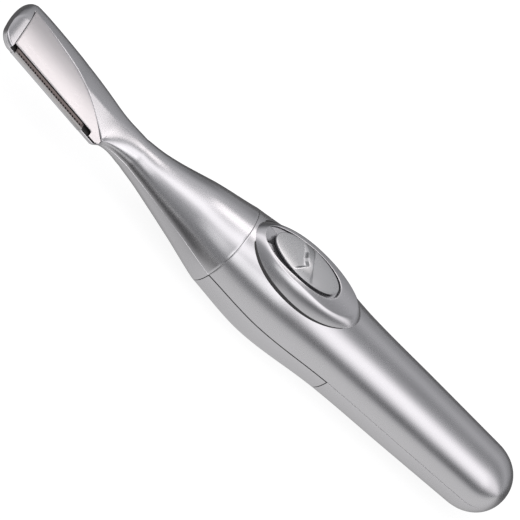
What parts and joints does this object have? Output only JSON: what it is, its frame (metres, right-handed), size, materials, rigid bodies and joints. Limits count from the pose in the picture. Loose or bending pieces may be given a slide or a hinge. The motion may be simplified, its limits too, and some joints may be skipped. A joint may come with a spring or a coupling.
{
  "type": "eyebrow razor",
  "caption": "Slim battery-driven eyebrow razor: a rounded vibrating handle with a sliding thumb switch, a pull-off battery door and a flat angled head with a guarded blade.",
  "frame": {"origin": "centre of the bounding box's footprint, on the plane that the handle's resting flat stands on", "axes": "+X runs from the head to the tail, +Z is the switch side, and the blade's edge faces -Y"},
  "size_m": [0.1542, 0.0236, 0.025],
  "materials": {
    "shell": "satin metallic silver, plated plastic",
    "platform": "satin metallic silver, plated plastic",
    "button": "satin metallic silver, plated plastic",
    "facet": "satin metallic silver, plated plastic",
    "steel": "ground stainless strip",
    "plate": "pressed sheet",
    "dark_plastic": "moulded",
    "white_plastic": "moulded",
    "board": "glass-filled board with a green coat",
    "contact": "bright strip",
    "screw": "zinc plated",
    "cell": "plain sleeve over the can",
    "cap": "nickel plated",
    "spring": "spring wire",
    "can": "drawn steel",
    "magnet": "ferrite",
    "boot": "soft sleeve",
    "bush": "sintered bush",
    "shaft": "ground rod",
    "winding": "copper winding on its core",
    "weight": "pressed metal",
    "red_lead": "insulated lead",
    "black_lead": "insulated lead"
  },
  "bodies": {
    "housing": {"upper_body_shell": "shell", "tail_lower_shell": "shell", "neck_upper_shell": "shell", "neck_lower_shell": "shell", "switch_bezel": "platform", "switch_board": "board", "switch_contacts": "contact", "battery_tray": "white_plastic", "tray_screws": "screw", "cell_can": "cell", "cell_cap": "cap", "front_contact": "contact", "battery_spring": "spring", "rear_contact": "contact", "motor_can": "can", "motor_magnets": "magnet", "motor_end_cap": "white_plastic", "motor_terminals": "contact", "motor_boot": "boot", "motor_bush": "bush", "feed_wire": "red_lead", "motor_wire": "red_lead", "return_wire": "black_lead"},
    "switch": {"switch_button": "button", "switch_slider": "dark_plastic", "switch_wiper": "contact"},
    "door": {"battery_door": "shell"},
    "cassette": {"blade_cover": "facet", "blade_base": "plate", "razor_blade": "steel", "blade_guard": "steel"},
    "rotor": {"motor_shaft": "shaft", "armature": "winding", "eccentric_weight": "weight"}
  },
  "joints": [
    {"name": "switch_slide", "type": "slide", "parent": "housing", "child": "switch", "axis": [-1, 0, 0], "range_m": [0, 0.0018]},
    {"name": "battery_door_pull", "type": "slide", "parent": "housing", "child": "door", "axis": [0, 0, -1], "range_m": [0, 0.016]},
    {"name": "cassette_pull", "type": "slide", "parent": "housing", "child": "cassette", "axis": [0, -1, 0], "range_m": [0, 0.014]},
    {"name": "rotor_spin", "type": "hinge", "parent": "housing", "child": "rotor", "pos_m": [-0.0215, 0, 0.0113], "axis": [1, 0, 0], "continuous": true}
  ]
}
